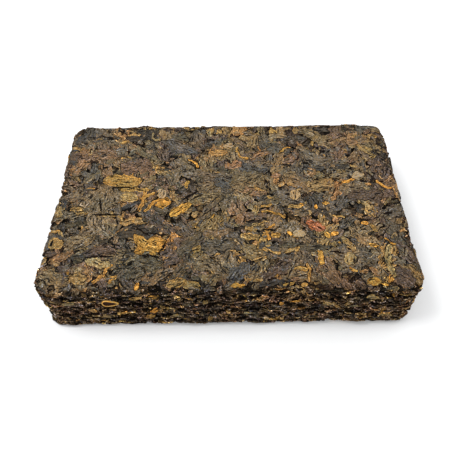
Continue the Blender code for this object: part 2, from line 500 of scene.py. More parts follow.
def grow_leaves_group():
    """Turns seats, which are points with attributes, into pressed leaves."""
    inputs = (("Seats", "geometry", None), *LEAF_INPUTS)
    tree, net, given = new_group("GeometryNodeTree", "Grow leaves", inputs, (("Leaves", "geometry"),))
    form = net.mesh_of(given["Form"])
    below = net.meshes_of(given["Ground"])
    blank = net.mesh_of(given["Blank"])
    seats = net.store(given["Seats"], "seat", net.add("GeometryNodeInputPosition"), "FLOAT_VECTOR")
    seats = net.store(seats, "leaf", net.add("GeometryNodeInputIndex"), "INT")
    made = net.add("GeometryNodeInstanceOnPoints", named={"Points": seats, "Instance": blank})
    made = net.add("GeometryNodeRealizeInstances", made)

    leaf = read_leaf(net, given)
    along, across = leaf_outline(net, given, leaf)
    flat, ahead, aside = leaf_directions(net, form, leaf)
    place = net.shifted(leaf.seat, net.scaled(ahead, along))
    place = net.shifted(place, net.scaled(aside, net.times(across, leaf.lying)))
    ragged = net.noise(net.scaled(place, 0.16 / MM), 1.0, 1.0)
    margin = net.span(ragged, 0.35, 0.65, 0.35 * MM, 2.2 * MM)
    place = net.mix(flat, place, inside_outline(net, place, margin), "VECTOR")

    wall, out = nearest_on(net, form, place)
    made = net.store(made, "ground", drop_onto(net, below, wall, out))
    made = net.store(made, "ground", over_blurred(net, "ground", 4))
    relief = leaf_relief(net, given, leaf)
    lying, standing = lying_height(net, given, leaf, relief), standing_height(net, leaf, across)
    height = net.mix(leaf.upright, lying, standing, "FLOAT")

    # Standing leaves keep level with their neighbours: one slow wave carries them all
    carried = net.times(net.bumps(net.scaled(place, 1 / WAVE_LENGTH), 1.0, 1.0), given["Waves"])
    bent = net.math("MULTIPLY_ADD", net.own_number(leaf.grain, 11.9), 2.0, -1.0)
    bow = net.times(leaf.arch, bent, given["Bow"])
    sideways = net.times(leaf.upright, net.plus(relief, carried, bow))
    place = net.shifted(wall, net.scaled(out, height))
    place = net.shifted(place, net.scaled(aside, sideways))
    place = net.vector("MINIMUM", net.vector("MAXIMUM", place, tuple(LOW)), tuple(HIGH))

    # How far below the wall a point lies, from which the shader paints shade
    deep = net.mix(leaf.upright, net.times(height, -1 / MM), net.times(height, -0.55 / MM), "FLOAT")
    made = net.store(made, "deep", deep)
    made = net.add("GeometryNodeSetPosition", named={"Geometry": made, "Position": place})
    made = net.store(made, "leaf_mm", leaf.own, "FLOAT_VECTOR")
    made = net.store(made, "rim", leaf.on_rim)
    inset = net.times(leaf.upright, net.less(0.5, leaf.side), leaf.wide, 1 / MM)
    made = net.store(made, "inset", inset)
    made = net.store(made, "outward", out, "FLOAT_VECTOR")
    made = net.add("GeometryNodeSetShadeSmooth", made)
    end_group(net, Leaves=made)
    return tree


def seat_share(net, given, hollows):
    """How thickly seats lie at each place of the form, and how far a place is into a hollow."""
    _, _, rise = net.parts(net.add("GeometryNodeInputNormal"))
    on_top = net.math("GREATER_THAN", rise, FACE_RISE)
    on_base = net.math("LESS_THAN", rise, -0.6)
    on_side = net.math("LESS_THAN", net.math("ABSOLUTE", rise), 0.93)
    on_shoulder = net.times(net.math("GREATER_THAN", rise, 0.15), net.math("LESS_THAN", rise, 0.985))
    share = net.plus(
        net.times(on_shoulder, given["Shoulder share"]),
        net.times(on_top, given["Top share"]),
        net.times(on_base, given["Base share"]),
        net.times(on_side, given["Side share"]),
    )
    place = net.add("GeometryNodeInputPosition")
    hollow = net.add("GeometryNodeGroup", node_tree=hollows, named={"Place": place})
    lying = net.times(net.math("GREATER_THAN", given["Top share"], 0.5), on_top)
    return net.times(share, net.less(1.0, net.times(lying, hollow))), hollow


def scatter_leaves_tree(grow, hollows):
    """Scatters seats over the form's top, sides and base, draws their sizes, and grows the leaves."""
    outputs = (("Geometry", "geometry"),)
    tree, net, given = new_group("GeometryNodeTree", "Scatter leaves", SCATTER_INPUTS, outputs)
    form = net.mesh_of(given["Form"])
    share, hollow = seat_share(net, given, hollows)
    gap, seed, half_turn = given["Spacing"], given["Seed"], given["Turn"]
    named = {
        "Mesh": form,
        "Distance Min": gap,
        "Density Max": net.math("DIVIDE", 1.4, net.times(gap, gap)),
        "Density Factor": share,
        "Seed": seed,
    }
    seats = net.add("GeometryNodeDistributePointsOnFaces", named=named, distribute_method="POISSON")
    seats = net.store(seats, "long", net.random(given["Shortest"], given["Longest"], seed, 1))
    ratio = net.random(given["Slimmest"], given["Broadest"], seed, 2)
    seats = net.store(seats, "wide", net.times(net.attribute("long"), ratio))
    seats = net.store(seats, "turn", net.random(net.times(half_turn, -1.0), half_turn, seed, 3))
    seats = net.store(seats, "stand", net.times(given["Stand"], net.random(0.75, 1.1, seed, 4)))
    seats = net.store(seats, "grain", net.random(0.0, 1.0, seed, 5))
    seats = net.store(seats, "tone", net.random(0.0, 1.0, seed, 6))
    deep = net.random(0.0, 1.0, seed, 7)
    sunk = net.plus(net.times(deep, deep, given["Sink"]), net.times(hollow, 0.8 * MM))
    seats = net.store(seats, "sink", sunk)
    end_as_piece(net, given, leaves_on(net, given, grow, seats))
    return tree


def place_leaves_tree(grow):
    """Grows leaves on seats given one by one, which are the vertices of the starting mesh."""
    inputs = (("Geometry", "geometry", None), ("Material", "material", None), *LEAF_INPUTS)
    tree, net, given = new_group("GeometryNodeTree", "Place leaves", inputs, (("Geometry", "geometry"),))
    end_as_piece(net, given, leaves_on(net, given, grow, given["Geometry"]))
    return tree


def leaves_on(net, given, grow, seats):
    """Leaves grown on seats, with a tree's own inputs passed on."""
    named = {name: given[name] for name, _, _ in LEAF_INPUTS}
    return net.add("GeometryNodeGroup", node_tree=grow, named={"Seats": seats, **named})


def end_as_piece(net, given, made):
    """Ends a tree with one plain mesh and its material."""
    made = net.add("GeometryNodeRealizeInstances", made)
    made = net.add("GeometryNodeSetMaterial", named={"Geometry": made, "Material": given["Material"]})
    end_group(net, Geometry=made)


def on_top(x, y):
    """A place on the top, from its two coordinates in mm."""
    return x * MM, y * MM, HIGH.z


def on_front(x, z):
    """A place on the front face, from its two coordinates in mm."""
    return x * MM, LOW.y, z * MM


def seats_by_hand(name, face, rows):
    """Seats from rows of: two coordinates in the face, turn in degrees, length, breadth, tone."""
    mesh = bpy.data.meshes.new(name)
    mesh.from_pydata([face(*row[:2]) for row in rows], [], [])
    columns = {
        "turn": [math.radians(row[2]) for row in rows],
        "long": [row[3] * MM for row in rows],
        "wide": [row[4] * MM for row in rows],
        "tone": [row[5] for row in rows],
        "grain": [(0.137 + 0.618 * i) % 1.0 for i in range(len(rows))],
        "stand": [0.0] * len(rows),
        "sink": [0.0] * len(rows),
    }
    for label, values in columns.items():
        mesh.attributes.new(label, "FLOAT", "POINT").data.foreach_set("value", values)
    return mesh


def drop_buried_tree():
    """Takes out the leaves that no longer show anywhere under the ones laid later."""
    inputs = (
        ("Geometry", "geometry", None),
        ("Material", "material", None),
        ("Leaves", "object", None),
        ("Cover", "collection", None),
        ("Least seen", "float", 2.0),  # a leaf with fewer points in sight goes
        ("Start", "mm", 0.00003),
        ("Reach", "mm", 4.0),
    )
    tree, net, given = new_group("GeometryNodeTree", "Drop buried", inputs, (("Geometry", "geometry"),))
    leaves = net.mesh_of(given["Leaves"])
    cover = net.meshes_of(given["Cover"])
    out = net.attribute("outward", "FLOAT_VECTOR")
    start = net.shifted(net.add("GeometryNodeInputPosition"), net.scaled(out, given["Start"]))
    named = {
        "Target Geometry": cover,
        "Source Position": start,
        "Ray Direction": out,
        "Ray Length": given["Reach"],
    }
    hidden = net.add("GeometryNodeRaycast", named=named, out="Is Hit")
    seen = net.less(1.0, net.most(hidden, net.attribute("rim")))
    number = net.attribute("leaf", "INT")
    total = net.add("GeometryNodeAccumulateField", seen, number, out="Total", data_type="FLOAT")
    buried = net.math("LESS_THAN", total, given["Least seen"])
    kept = net.add("GeometryNodeDeleteGeometry", named={"Geometry": leaves, "Selection": buried})
    end_as_piece(net, given, kept)
    return tree


def level(u, v):
    """The crown of a flat leaf."""
    return 1.0


def half_round(u, v):
    """The crown of a round stem."""
    return math.sqrt(max(0.0, 1 - (2 * v - 1) ** 2))


def leaf_blank(name, along, across, rim=0.03, crown=level, under=UNDER_CROWN):
    """An unshaped leaf: a sheet on the unit square, closed by a shallow trough below it.

    Its attribute blank holds the place along, the place across, and the crown: above 0 on the
    sheet, RIM_CROWN round its rim, UNDER_CROWN on the trough. The count along is even.
    """

    def places(count):
        inner = [rim + (1 - 2 * rim) * i / (count - 2) for i in range(count - 1)]
        return [0.0, *inner, 1.0]

    us, vs = places(along), places(across)
    sheet = bmesh.new()
    grid = []
    for i, u in enumerate(us):
        row = []
        for j, v in enumerate(vs):
            inside = 0 < i < along and 0 < j < across
            row.append(sheet.verts.new((u, v, crown(u, v) if inside else RIM_CROWN)))
        grid.append(row)
    for i in range(along):
        for j in range(across):
            sheet.faces.new((grid[i][j], grid[i + 1][j], grid[i + 1][j + 1], grid[i][j + 1]))
    keel = {}
    for i in range(2, along - 1, 2):
        keel[i] = [sheet.verts.new((us[i], v, under)) for v in (0.25, 0.75)]
    for i in range(2, along - 3, 2):
        (a, b), (c, d) = keel[i], keel[i + 2]
        sheet.faces.new((a, b, d, c))
        sheet.faces.new((grid[i][0], a, c, grid[i + 2][0], grid[i + 1][0]))
        sheet.faces.new((b, grid[i][across], grid[i + 1][across], grid[i + 2][across], d))
    for end, step in ((0, 1), (along, -1)):
        a, b = keel[2 if end == 0 else along - 2]
        rows = [grid[end + step * k] for k in range(3)]
        face = [b, a, rows[2][0], rows[1][0], *rows[0], rows[1][across], rows[2][across]]
        sheet.faces.new(face if end == 0 else face[::-1])
    mesh = bpy.data.meshes.new(name)
    sheet.to_mesh(mesh)
    sheet.free()
    attribute = mesh.attributes.new("blank", "FLOAT_VECTOR", "POINT")
    attribute.data.foreach_set("vector", [c for vertex in mesh.vertices for c in vertex.co])
    return bpy.data.objects.new(name, mesh)


def in_scene(made):
    """Links a new object into the scene."""
    bpy.context.scene.collection.objects.link(made)
    return made


def helper_collection(name):
    """A new collection in the scene, for trees to read pieces from."""
    made = bpy.data.collections.new(name)
    bpy.context.scene.collection.children.link(made)
    return made


def set_input(modifier, name, value):
    """Sets a Geometry Nodes modifier's input by its socket's identifier."""
    items = modifier.node_group.interface.items_tree
    sockets = [item for item in items if item.item_type == "SOCKET" and item.in_out == "INPUT"]
    socket = next(item for item in sockets if item.name == name)
    modifier[socket.identifier] = value * MM if name in LENGTHS else value


def made_by(tree, name, seats=None, **inputs):
    """A plain mesh object made by a tree: its modifier is evaluated, read and removed.

    An input's underscores stand for spaces, and its lengths are in mm. The empty slot that comes
    from the unshaped leaf goes, so that the piece has its one material only.
    """
    seats = seats or bpy.data.meshes.new(name + "_start")
    start = in_scene(bpy.data.objects.new(name + "_start", seats))
    modifier = start.modifiers.new("make", "NODES")
    modifier.node_group = tree
    for label, value in inputs.items():
        set_input(modifier, label.replace("_", " "), value)
    bpy.context.view_layer.update()
    graph = bpy.context.evaluated_depsgraph_get()
    mesh = bpy.data.meshes.new_from_object(start.evaluated_get(graph), depsgraph=graph)
    mesh.name = name
    mesh.materials.clear()
    mesh.materials.append(inputs["Material"])
    bpy.data.objects.remove(start)
    return in_scene(bpy.data.objects.new(name, mesh))


# ---------------------------------------------------------------- form and core


def outer_form():
    """The brick's outer form as one smooth closed mesh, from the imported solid."""
    form = bmesh.new()
    form.from_mesh(frame["nodes"][BRICK].data)
    bmesh.ops.remove_doubles(form, verts=form.verts, dist=0.02 * MM)
    mesh = bpy.data.meshes.new("form")
    form.to_mesh(mesh)
    form.free()
    mesh.shade_smooth()
    return bpy.data.objects.new("form", mesh)


def core_piece(form, material):
    """The dark block under the leaves, with shade painted on it where it shows between them: the form
    drawn in a little, and further round the sides.
    """
    block = bmesh.new()
    block.from_mesh(form.data)
    block.normal_update()
    for vertex in block.verts:
        upright = 1 - abs(vertex.normal.z)
        vertex.co -= vertex.normal * (0.42 + 1.2 * max(0.0, upright)) * MM
    mesh = bpy.data.meshes.new("core")
    block.to_mesh(mesh)
    block.free()
    mesh.shade_smooth()
    # Depth, from which the shader paints shade on the core where it shows between the leaves
    depth = mesh.attributes.new("deep", "FLOAT", "POINT")
    depth.data.foreach_set("value", [0.55 + 0.25 * abs(v.normal.z) for v in mesh.vertices])
    tone = mesh.attributes.new("tone", "FLOAT", "POINT")
    tone.data.foreach_set("value", [0.9] * len(mesh.vertices))
    mesh.materials.append(material)
    return in_scene(bpy.data.objects.new("core", mesh))


# ---------------------------------------------------------------- materials


# How strongly each kind of mark shows; Matt is the roughness of a leaf without marks
SURFACE_INPUTS = (
    ("Leaf colour", "colour", (0.08, 0.05, 0.03, 1)),
    ("Fleck colour", "colour", (0.34, 0.19, 0.045, 1)),
    # The near-black that painted shade goes towards
    ("Dark colour", "colour", (0.0014, 0.0010, 0.0008, 1)),
    ("Fibres", "float", 1.0),
    # Painted shade in the creases and painted highlights on the ridges
    ("Veins", "float", 1.0),
    ("Grit", "float", 1.0),
    ("Stains", "float", 1.0),
    ("Flecks", "float", 1.0),
    # Painted shade in the torn gap round a leaf, and a painted highlight just inside its rim
    ("Gaps", "float", 1.0),
    ("Inner shade", "float", 0.0),
    # Painted highlights along the layers of leaf edges and painted shade between them
    ("Layers", "float", 0.0),
    ("Hues", "float", 1.0),
    ("Matt", "float", 0.62),
)


def surface_marks(net):
    """The marks on a leaf, as sockets: some follow the leaf, others follow the place on the brick."""
    at = SimpleNamespace()
    at.own = net.painted("leaf_mm", "Vector")
    at.rim, at.deep, at.inset = net.painted("rim"), net.painted("deep"), net.painted("inset")
    at.place = net.scaled(net.add("ShaderNodeTexCoord", out="Object"), 1 / MM)
    slow = net.stretched(at.own, (0.16, 0.30, 1.0))
    wavy = net.warp(at.own, net.noise(slow, 1.0, out="Color"), 0.8)

    def along_leaf(vector, stretch, detail=1.0, roughness=0.5):
        return net.noise(net.stretched(vector, stretch), 1.0, detail, roughness)

    def on_brick(shift, scale, detail=2.0, roughness=0.5):
        return net.noise(net.shifted(at.place, shift), scale, detail, roughness)

    at.fibre = along_leaf(wavy, (0.13, 1.05, 1.0), 2.0, 0.55)
    at.fine = along_leaf(wavy, (0.28, 2.1, 1.0), 2.0, 0.6)
    _, over, _ = net.parts(wavy)
    ripple = net.times(net.math("PINGPONG", net.times(over, 0.72), 0.5), 2.0)
    broken = along_leaf(at.own, (0.20, 0.75, 1.0))
    other = along_leaf(net.shifted(at.own, (9.0, 5.0, 2.0)), (0.25, 0.75, 1.0))
    # Painted shade in the creases that run along the leaf, and painted highlights on the ridges between
    # them
    at.vein = net.times(net.span(ripple, 0.0, 0.32, 1.0, 0.0), net.span(broken, 0.46, 0.54))
    at.ridge = net.times(net.span(ripple, 0.60, 0.95), net.span(other, 0.48, 0.58))
    # Thin splits, with painted shade in them
    apart = net.shifted(net.stretched(wavy, (0.30, 1.4, 1.0)), (31.0, 7.0, 3.0))
    at.split = net.span(net.noise(apart, 1.0, 2.0, 0.6), 0.568, 0.598, smooth=True)

    at.blotch = net.noise(at.place, 0.28)
    at.grit = net.noise(at.place, 1.15, 3.0, 0.7)
    at.speck = on_brick((3.0, 8.0, 1.0), 2.6, 1.0)
    at.hue = on_brick((5.0, 17.0, 3.0), 0.11)
    at.rag = on_brick((5.0, 17.0, 3.0), 0.4, 3.0, 0.6)
    at.motley = on_brick((13.0, 4.0, 6.0), 1.6, 1.0)
    at.fleck = net.span(on_brick((1.0, 2.0, 9.0), 1.05, 3.0, 0.65), 0.68, 0.73, smooth=True)

    # Level layers of leaf edges, buckled up and down: painted highlights along them, painted shade between
    # them
    buckle = net.times(net.less(net.noise(at.place, 0.22, 2.0, 0.6), 0.5), 3.0 * 2.3)
    layer = net.stretched(at.place, (0.36, 0.36, 2.3))
    at.layer = net.noise(net.shifted(layer, net.combine(0.0, 0.0, buckle)), 1.0, 2.0, 0.6)
    return at


def surface_light(net, given, at):
    """How many times over the leaf's colour is doubled by its marks, among them painted highlights on
    layers and ridges and painted shade in creases.
    """
    uneven = (
        (at.fibre, 1.7, "Fibres"),
        (at.fine, 2.6, "Fibres"),
        (at.blotch, 1.2, "Stains"),
        (at.hue, 0.9, "Stains"),
        (at.grit, 3.9, "Grit"),
        (at.speck, 5.3, "Grit"),
    )
    return net.plus(
        0.05,
        *(net.times(net.less(noise, 0.5), by, given[label]) for noise, by, label in uneven),
        # Painted highlights along the layers of leaf edges
        net.times(net.span(at.layer, 0.54, 0.66), 1.6, given["Layers"]),
        # Painted shade in the creases, painted highlights on the ridges
        net.times(at.vein, -0.9, given["Veins"]),
        net.times(at.ridge, 0.7, given["Veins"]),
    )


def surface_hues(net, given, at, colour):
    """The colour turned warmer and cooler: in specks, by the place, and from leaf to leaf."""
    motley = net.scaled((0.95, 0.1, -1.6), net.less(at.motley, 0.5))
    colour = net.stretched(colour, net.shifted(motley, (1.03, 1.0, 0.93)))
    tint = net.mix(net.span(at.hue, 0.36, 0.64), (0.95, 1.0, 1.04, 1), (1.10, 0.97, 0.82, 1))
    kinds = net.tree.nodes.new("ShaderNodeValToRGB")
    kinds.color_ramp.elements[0].color = (0.89, 1.0, 1.12, 1)
    kinds.color_ramp.elements[1].color = (1.14, 0.95, 0.82, 1)
    between = ((0.30, (0.98, 1.0, 0.95, 1)), (0.55, (1.0, 1.01, 0.78, 1)), (0.80, (1.04, 0.95, 0.97, 1)))
    for spot, shade in between:
        kinds.color_ramp.elements.new(spot).color = shade
    net.feed(kinds.inputs[0], net.own_number(net.painted("grain"), 23.7))
    own_hue = net.mix(given["Hues"], (1.0, 1.0, 1.0, 1), kinds.outputs[0])
    return net.stretched(net.stretched(colour, tint), own_hue)


def darker_ends(net, at, colour):
    """The leaves at the brick's two ends and along its front are a little darker."""
    x, y, _ = net.parts(at.place)
    ends = net.span(net.math("ABSOLUTE", x), 54.0, 69.0)
    front = net.span(y, -28.0, -41.0)
    return net.scaled(colour, net.less(1.0, net.most(net.times(ends, 0.20), net.times(front, 0.24))))


def surface_darkness(net, given, at):
    """How much painted shade a place gets: in the torn gaps round a leaf, in splits, between layers of
    leaves, on the inner parts of standing leaves, and by depth.
    """
    # Painted shade in the torn gap round each leaf, on its rim
    torn = net.plus(at.rim, net.times(net.less(at.grit, 0.5), 0.8), net.times(net.less(at.rag, 0.5), 2.2))
    gap = net.times(net.span(torn, 0.40, 0.52), net.math("GREATER_THAN", at.rim, 0.02), given["Gaps"])
    inner = net.span(net.plus(at.inset, net.less(at.grit, 0.5)), 0.15, 0.60)
    return net.most(
        gap,
        # Painted shade in the splits
        net.times(at.split, 0.95),
        # Painted shade between the layers of leaf edges
        net.times(net.span(at.layer, 0.455, 0.495, 0.97, 0.0), given["Layers"]),
        net.times(inner, given["Inner shade"]),
        # Painted shade, darker the further below the wall a place lies
        net.span(at.deep, 0.34, 0.86, 0.0, 0.97),
    )


def leaf_surface_group():
    """Fibres, stains and golden flecks of a pressed leaf over its own colour, with painted shade in its
    gaps, creases, splits and depths and painted highlights on its rims, ridges and layered edges.
    """
    outputs = (("Color", "colour"), ("Roughness", "float"), ("Height", "float"))
    tree, net, given = new_group("ShaderNodeTree", "Pressed leaf surface", SURFACE_INPUTS, outputs)
    at = surface_marks(net)
    light = surface_light(net, given, at)
    gain = net.combine(*(net.math("POWER", base, light) for base in (1.88, 2.0, 2.35)))
    colour = surface_hues(net, given, at, net.stretched(given["Leaf colour"], gain))
    colour = darker_ends(net, at, colour)
    # Painted highlight on a thin band just inside each leaf's rim
    lit = net.times(net.span(at.rim, 0.02, 0.12), net.span(at.rim, 0.30, 0.42, 1.0, 0.0))
    lit = net.times(lit, 0.8, given["Gaps"])
    colour = net.mix(lit, colour, net.stretched(colour, (2.2, 2.0, 1.6)))
    colour = net.mix(net.times(at.fleck, given["Flecks"], 0.85), colour, given["Fleck colour"])
    # Painted shade: the colour goes towards the near-black dark colour
    dark = surface_darkness(net, given, at)
    colour = net.mix(dark, colour, given["Dark colour"])
    height = net.plus(
        net.times(at.fibre, 0.42),
        net.times(at.fine, 0.22),
        net.times(at.grit, 0.30),
        net.times(at.vein, -0.10),
        net.times(at.ridge, 0.05),
        net.times(at.split, -0.25),
        net.times(at.fleck, 0.08),
    )
    glossy = net.noise(net.stretched(at.own, (0.02, 0.02, 1.7)), 1.0, 0.0)
    glossy = net.span(glossy, 0.40, 0.60, -0.18, 0.25)
    rough = net.plus(given["Matt"], glossy, net.times(net.less(at.grit, 0.5), 0.4), net.times(dark, 0.4))
    end_group(net, Color=colour, Roughness=net.least(net.most(rough, 0.3), 1.0), Height=height)
    return tree


# Colours of each kind of leaf, along its tone from 0 to 1
LEAF_TONES = {
    0.0: (0.022, 0.018, 0.014),
    0.10: (0.042, 0.036, 0.030),
    0.24: (0.056, 0.047, 0.038),
    0.40: (0.073, 0.057, 0.042),
    0.58: (0.090, 0.068, 0.046),
    0.76: (0.106, 0.077, 0.046),
    0.90: (0.130, 0.088, 0.045),
    0.97: (0.172, 0.111, 0.046),
    1.0: (0.21, 0.128, 0.046),
}
GOLD_TONES = {
    0.0: (0.158, 0.122, 0.060),
    0.35: (0.185, 0.118, 0.044),
    0.7: (0.22, 0.125, 0.028),
    1.0: (0.33, 0.17, 0.033),
}
DARK_TONES = {
    0.0: (0.012, 0.008, 0.006),
    0.6: (0.036, 0.026, 0.018),
    1.0: (0.065, 0.047, 0.027),
}
# Near-black strips laid as painted shade in the cracks of the top
CRACK_SHADE_TONES = {
    0.0: (0.006, 0.004, 0.003),
    1.0: (0.012, 0.008, 0.006),
}
PALE_TONES = {
    0.0: (0.045, 0.018, 0.010),
    1.0: (1.0, 0.60, 0.20),
}
EDGE_TONES = {
    0.0: (0.040, 0.028, 0.020),
    0.45: (0.098, 0.069, 0.048),
    0.78: (0.180, 0.122, 0.074),
    0.93: (0.26, 0.165, 0.075),
    1.0: (0.50, 0.31, 0.10),
}
BUD_TONES = {
    0.0: (0.155, 0.104, 0.061),
    1.0: (0.225, 0.175, 0.112),
}
RED_TONES = {
    0.0: (0.17, 0.095, 0.050),
    1.0: (0.19, 0.072, 0.034),
}


def leaf_material(name, group, tones, sheen=0.1, **settings):
    """A leaf material: its own colour by the leaf's tone, and the shared surface over it."""
    material = bpy.data.materials.new(name)
    material.use_nodes = True
    net = Net(material.node_tree)
    shader = material.node_tree.nodes["Principled BSDF"]
    ramp = material.node_tree.nodes.new("ShaderNodeValToRGB")
    net.feed(ramp.inputs[0], net.painted("tone"))
    stops = ramp.color_ramp.elements
    while len(stops) < len(tones):
        stops.new(0.5)
    for stop, (place, colour) in zip(stops, tones.items()):
        stop.position = place
        stop.color = (*colour, 1.0)
    named = {key.replace("_", " "): value for key, value in settings.items()}
    named["Leaf colour"] = ramp.outputs[0]
    surface = net.add("ShaderNodeGroup", node_tree=group, named=named).node
    relief = {"Strength": 1.0, "Distance": MM, "Height": surface.outputs["Height"]}
    bump = net.add("ShaderNodeBump", named=relief)
    net.feed(shader.inputs["Base Color"], surface.outputs["Color"])
    net.feed(shader.inputs["Roughness"], surface.outputs["Roughness"])
    net.feed(shader.inputs["Normal"], bump)
    shader.inputs["Specular IOR Level"].default_value = sheen
    return material


def folded_leaf(name, middle, long, tall, wall, back, material):
    """A leaf folded into a flat loop, pressed with its edge to the front face."""
    mesh = bmesh.new()
    rings = []
    steps = 28
    section = ((0.0, 0.25), (0.3, 0.0), (0.7, 0.0), (1.0, 0.25), (1.0, 1.0), (0.0, 1.0))
    for step in range(steps):
        angle = 2 * math.pi * step / steps
        across = math.copysign(abs(math.cos(angle)) ** 0.8, math.cos(angle))
        centre = Vector((across * long / 2, 0, math.sin(angle) * tall / 2 * (1 - 0.5 * across)))
        outward = Vector((math.cos(angle) / long, 0, math.sin(angle) / tall)).normalized()
        ring = []
        for out, deep in section:
            corner = middle + centre + outward * (out - 0.5) * wall
            ring.append(mesh.verts.new(corner + Vector((0, deep * back, 0))))
        rings.append(ring)
    for ring, following in zip(rings, rings[1:] + rings[:1]):
        for i in range(len(section)):
            j = (i + 1) % len(section)
            mesh.faces.new((ring[i], ring[j], following[j], following[i]))
    bmesh.ops.recalc_face_normals(mesh, faces=mesh.faces)
    inside = [ring[0].co.copy() for ring in rings]
    for deep, turned in ((0.45, False), (0.95, True)):
        level = middle.y + deep * back
        floor = [mesh.verts.new((place.x, level, place.z)) for place in inside]
        mesh.faces.new(floor[::-1] if turned else floor)
    data = bpy.data.meshes.new(name)
    mesh.to_mesh(data)
    mesh.free()
    data.shade_smooth()
    tones = [1.0] * (len(section) * steps) + [0.0] * (2 * steps)
    data.attributes.new("tone", "FLOAT", "POINT").data.foreach_set("value", tones)
    data.materials.append(material)
    return in_scene(bpy.data.objects.new(name, data))


def camera():
    """The camera, in front of the brick and above it, looking down at its middle."""
    data = bpy.data.cameras.new("camera")
    data.sensor_width = 36.0
    data.lens = 39.8
    data.clip_start, data.clip_end = 0.01, 10
    eye = in_scene(bpy.data.objects.new("camera", data))
    pitch, yaw, roll = math.radians(52.03), math.radians(0.63), math.radians(-1.13)
    distance, aim = 0.2244, Vector((0.0003, 0.0023, 0.0))
    forward = Vector((-math.sin(yaw) * math.cos(pitch), math.cos(yaw) * math.cos(pitch), -math.sin(pitch)))
    right = Vector((math.cos(yaw), math.sin(yaw), 0.0))
    up = right.cross(forward)
    sine, cosine = math.sin(roll), math.cos(roll)
    right, up = cosine * right + sine * up, cosine * up - sine * right
    basis = Matrix((right, up, -forward)).transposed().to_4x4()
    eye.matrix_world = Matrix.Translation(aim - forward * distance) @ basis
    bpy.context.scene.camera = eye


def area_light(name, place, size, power):
    """A square lamp aimed at the brick's middle."""
    data = bpy.data.lights.new(name, "AREA")
    data.size = size
    data.energy = power
    lamp = in_scene(bpy.data.objects.new(name, data))
    lamp.location = place
    lamp.rotation_euler = (-Vector(place)).to_track_quat("-Z", "Y").to_euler()


def plain_floor(half, colour):
    """A square floor, level with the brick's base; half is half its side."""
    mesh = bpy.data.meshes.new("floor")
    corners = [(-half, -half, 0), (half, -half, 0), (half, half, 0), (-half, half, 0)]
    mesh.from_pydata(corners, [], [(0, 1, 2, 3)])
    material = bpy.data.materials.new("floor")
    material.use_nodes = True
    shader = material.node_tree.nodes["Principled BSDF"]
    shader.inputs["Base Color"].default_value = colour
    shader.inputs["Roughness"].default_value = 0.9
    mesh.materials.append(material)
    return in_scene(bpy.data.objects.new("floor", mesh))


def studio():
    """Soft white light from all round and above, a lamp at the left, and a plain pale floor."""
    scene = bpy.context.scene
    scene.view_settings.view_transform = "Standard"
    world = bpy.data.worlds.new("studio")
    world.use_nodes = True
    background = world.node_tree.nodes["Background"]
    background.inputs["Color"].default_value = (1, 1, 1, 1)
    background.inputs["Strength"].default_value = 1.3
    scene.world = world
    area_light("key", (-0.45, -0.05, 0.80), 0.3, 4.6)
    area_light("overhead", (0.0, 0.05, 0.9), 1.2, 3.0)
    floor = plain_floor(2.0, (0.65, 0.655, 0.66, 1))


# ---------------------------------------------------------------- assembly

surface = leaf_surface_group()
pale = leaf_material("pale leaf edge", surface, PALE_TONES, 0.03, Flecks=0.0, Hues=0.0, Grit=0.4)
leafy = leaf_material("pressed leaves", surface, LEAF_TONES, Flecks=0.5)
golden = leaf_material("golden leaves", surface, GOLD_TONES, Flecks=0.3, Veins=0.3, Hues=0.3)
dark = leaf_material("dark leaves", surface, DARK_TONES, 0.05, Flecks=0.6)
buds = leaf_material(
    "leaf buds", surface, BUD_TONES, Flecks=0.0, Veins=0.1, Grit=0.35, Fibres=0.2, Stains=0.5, Hues=0.2
)
reddish = leaf_material("red leaves", surface, RED_TONES, Flecks=0.3, Veins=0.4, Hues=0.0)
rubbly = leaf_material(
    "broken leaf edges", surface, EDGE_TONES, 0.03, Flecks=0.6, Layers=0.7, Stains=2.0, Grit=1.7
)
edgy = leaf_material(
    "leaf edges", surface, EDGE_TONES, 0.03,
    Flecks=0.5, Gaps=0.0, Inner_shade=0.85, Layers=0.5, Stains=2.0, Grit=1.7,
)
# Painted shade for the cracks
crack_shade = leaf_material("dark gaps", surface, CRACK_SHADE_TONES, 0.02, Flecks=0.0, Hues=0.0)
packed = leaf_material("packed leaf edges", surface, DARK_TONES, 0.03, Flecks=0.6, Layers=1.0)

broad_blank = leaf_blank("broad_blank", 20, 14, 0.02)
strip_blank = leaf_blank("strip_blank", 28, 7)
bit_blank = leaf_blank("bit_blank", 8, 6)
flake_blank = leaf_blank("flake_blank", 12, 3, 0.05, under=-0.6)
short_blank = leaf_blank("short_blank", 6, 3, 0.05, under=-0.6)
bud_blank = leaf_blank("bud_blank", 12, 10, 0.04)
stem_blank = leaf_blank("stem_blank", 16, 6, 0.03, half_round)

SIDES = dict(Top_share=0.0, Base_share=0.0, Side_share=1.0)
ON_EDGE = dict(SIDES, Stand=1.0, Taper=0.2, Roll=0.0, Gap=0.0)

